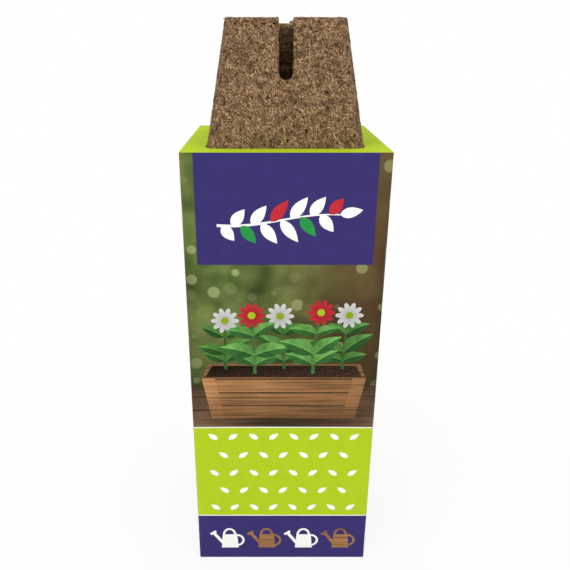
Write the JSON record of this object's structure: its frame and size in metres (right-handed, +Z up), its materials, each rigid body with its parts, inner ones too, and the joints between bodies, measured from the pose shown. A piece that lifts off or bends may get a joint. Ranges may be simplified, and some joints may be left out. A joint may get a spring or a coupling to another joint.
{
  "type": "nested plant pot pack",
  "caption": "Square tapered seedling pots of moulded wood fibre, nested upside down in a printed card sleeve that lifts off; the top pot stands out of its opening.",
  "frame": {"origin": "on the floor under the middle of the stack", "axes": "+Z up, along the stack; the printed front faces -Y"},
  "size_m": [0.084, 0.084, 0.255],
  "materials": {
    "wood_fibre": "rough matted wood fibres, brown with pale and dark flecks",
    "printed_card": "offset-printed folding card with a satin varnish",
    "lime_card": "folding card printed plain lime, satin varnish",
    "bare_card": "uncoated grey-white back of folding card"
  },
  "bodies": {
    "pot_12": {"pot_12": "wood_fibre"},
    "pot_11": {"pot_11": "wood_fibre"},
    "pot_10": {"pot_10": "wood_fibre"},
    "pot_09": {"pot_09": "wood_fibre"},
    "pot_08": {"pot_08": "wood_fibre"},
    "pot_07": {"pot_07": "wood_fibre"},
    "pot_06": {"pot_06": "wood_fibre"},
    "pot_05": {"pot_05": "wood_fibre"},
    "pot_04": {"pot_04": "wood_fibre"},
    "pot_03": {"pot_03": "wood_fibre"},
    "pot_02": {"pot_02": "wood_fibre"},
    "pot_01": {"pot_01": "wood_fibre"},
    "sleeve": {"front_panel": "printed_card", "back_panel": "printed_card", "left_panel": "printed_card", "right_panel": "printed_card", "top_panel": "lime_card", "top_glue_flap": "bare_card", "side_seam_flap": "bare_card", "left_shoulder_flap": "bare_card", "right_shoulder_flap": "bare_card"}
  },
  "joints": [
    {"name": "lift_pot_11", "type": "slide", "parent": "pot_12", "child": "pot_11", "axis": [0, 0, 1], "range_m": [0, 0.08]},
    {"name": "lift_pot_10", "type": "slide", "parent": "pot_11", "child": "pot_10", "axis": [0, 0, 1], "range_m": [0, 0.08]},
    {"name": "lift_pot_09", "type": "slide", "parent": "pot_10", "child": "pot_09", "axis": [0, 0, 1], "range_m": [0, 0.08]},
    {"name": "lift_pot_08", "type": "slide", "parent": "pot_09", "child": "pot_08", "axis": [0, 0, 1], "range_m": [0, 0.08]},
    {"name": "lift_pot_07", "type": "slide", "parent": "pot_08", "child": "pot_07", "axis": [0, 0, 1], "range_m": [0, 0.08]},
    {"name": "lift_pot_06", "type": "slide", "parent": "pot_07", "child": "pot_06", "axis": [0, 0, 1], "range_m": [0, 0.08]},
    {"name": "lift_pot_05", "type": "slide", "parent": "pot_06", "child": "pot_05", "axis": [0, 0, 1], "range_m": [0, 0.08]},
    {"name": "lift_pot_04", "type": "slide", "parent": "pot_05", "child": "pot_04", "axis": [0, 0, 1], "range_m": [0, 0.08]},
    {"name": "lift_pot_03", "type": "slide", "parent": "pot_04", "child": "pot_03", "axis": [0, 0, 1], "range_m": [0, 0.08]},
    {"name": "lift_pot_02", "type": "slide", "parent": "pot_03", "child": "pot_02", "axis": [0, 0, 1], "range_m": [0, 0.08]},
    {"name": "lift_pot_01", "type": "slide", "parent": "pot_02", "child": "pot_01", "axis": [0, 0, 1], "range_m": [0, 0.08]},
    {"name": "lift_sleeve", "type": "slide", "parent": "pot_01", "child": "sleeve", "axis": [0, 0, 1], "range_m": [0, 0.26]}
  ]
}
